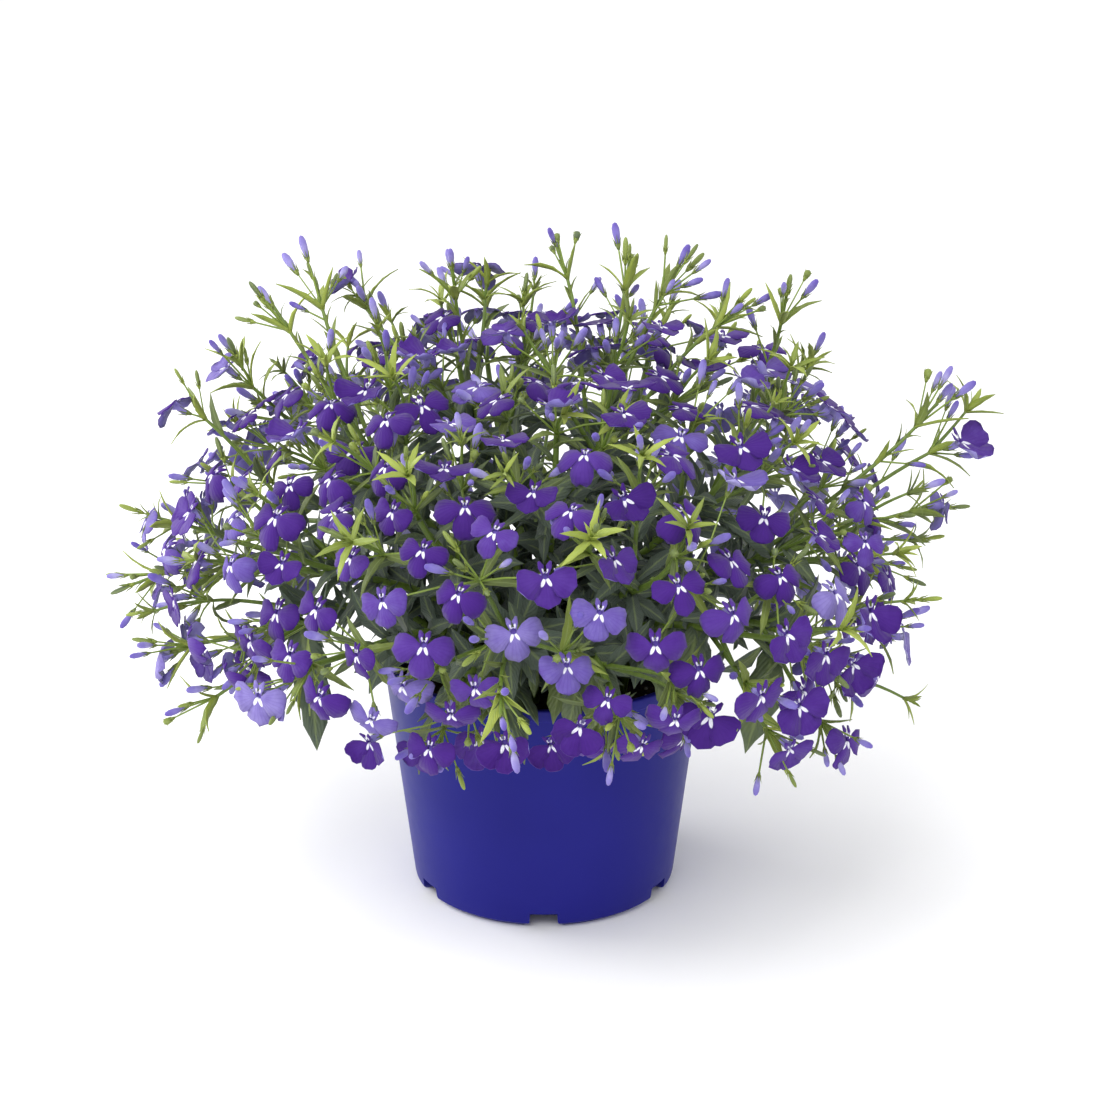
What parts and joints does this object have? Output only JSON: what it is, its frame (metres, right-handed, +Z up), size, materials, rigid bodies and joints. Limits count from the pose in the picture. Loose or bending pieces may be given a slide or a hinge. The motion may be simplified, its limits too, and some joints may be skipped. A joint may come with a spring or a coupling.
{
  "type": "trailing lobelia in a pot",
  "caption": "Trailing lobelia in a round grower's pot: a wide dome of small violet-blue flowers with white eyes among narrow green leaves, spilling over the rim.",
  "frame": {"origin": "on the pot's axis, in the plane that its foot ring stands on", "axes": "+Z up along the pot's axis; -Y towards the side whose drainage notch faces the viewer; +X to the viewer's right"},
  "size_m": [0.3148, 0.2913, 0.2402],
  "materials": {
    "pot": "satin moulded plastic, deep blue",
    "compost": "dark crumbly peat compost, matte",
    "foliage": "soft leaves and thin stems, slightly hairy, matte green",
    "petals": "thin petals, soft velvety violet-blue with a white eye"
  },
  "bodies": {
    "root": {"pot": "pot", "compost": "compost", "spray_01": "foliage", "spray_02": "foliage", "spray_03": "foliage", "spray_04": "foliage", "spray_05": "foliage", "spray_06": "foliage", "spray_07": "foliage", "spray_08": "foliage", "spray_09": "foliage", "spray_10": "foliage", "spray_11": "foliage", "spray_12": "foliage", "spray_13": "foliage", "spray_14": "foliage", "spray_15": "foliage", "spray_16": "foliage", "spray_17": "foliage", "spray_18": "foliage", "spray_19": "foliage", "spray_20": "foliage", "spray_21": "foliage", "spray_22": "foliage", "spray_23": "foliage", "spray_24": "foliage", "spray_25": "foliage", "spray_26": "foliage", "spray_27": "foliage", "spray_28": "foliage", "spray_29": "foliage", "spray_30": "foliage"}
  },
  "joints": []
}
